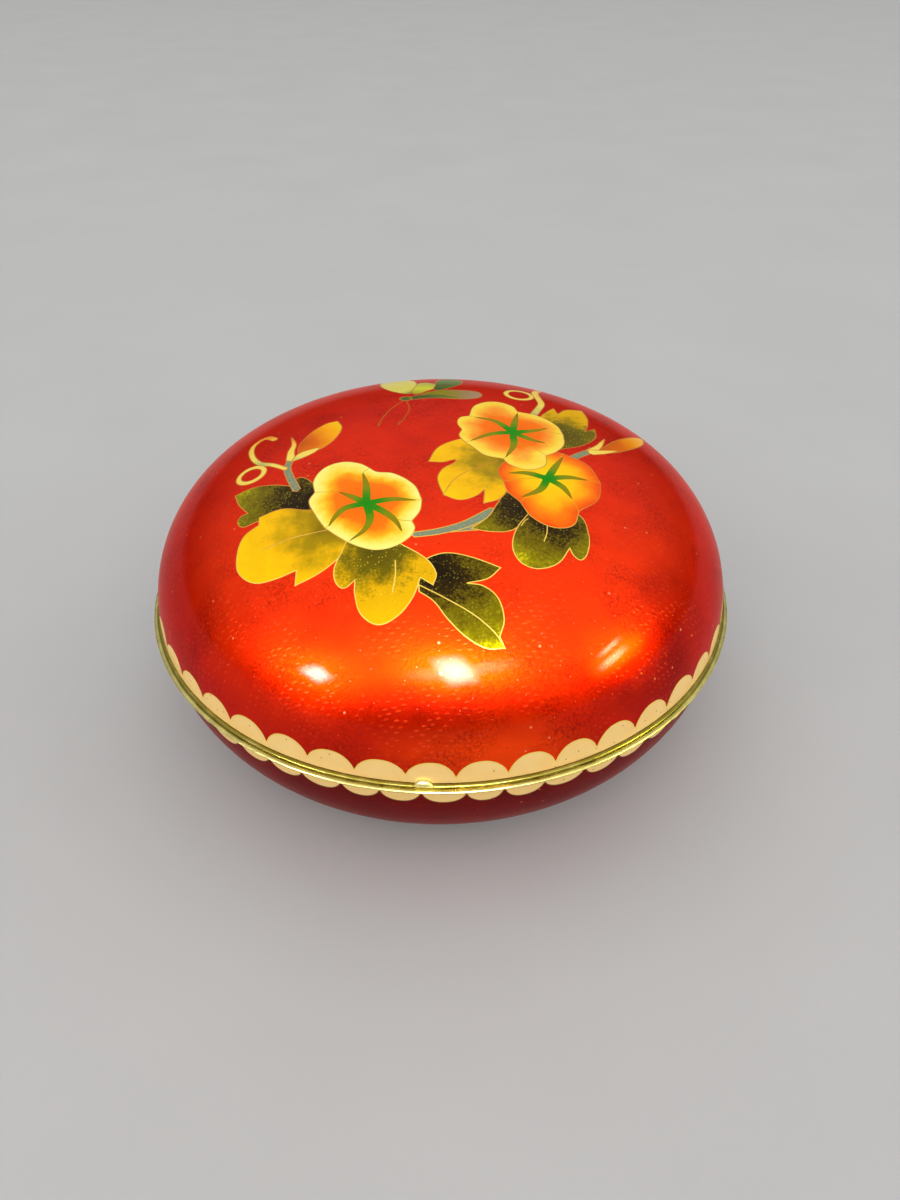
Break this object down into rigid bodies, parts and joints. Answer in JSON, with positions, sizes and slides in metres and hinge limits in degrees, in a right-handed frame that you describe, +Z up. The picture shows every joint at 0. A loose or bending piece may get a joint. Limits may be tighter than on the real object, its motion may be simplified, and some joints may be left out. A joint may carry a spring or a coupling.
{
  "type": "cloisonne enamel box",
  "caption": "Round low-domed enamel box with a lift-off lid, brass-ringed at the joint, hollow throughout, standing on a low foot ring.",
  "frame": {"origin": "centre of the foot ring's underside, on the surface that the box stands on", "axes": "+Z up along the box's axis, -Y towards the front, where the lid's ring is soldered, +X to the right seen from the front"},
  "size_m": [0.12, 0.12, 0.06],
  "materials": {
    "enamel": "translucent red enamel over patterned foil, with inlaid flowers and a salmon scalloped edge, polished to a gloss",
    "brass": "polished brass ring, lightly worn and tarnished"
  },
  "bodies": {
    "root": {"lid_shell": "enamel", "lid_rim": "brass", "base_shell": "enamel", "base_rim": "brass"}
  },
  "joints": []
}
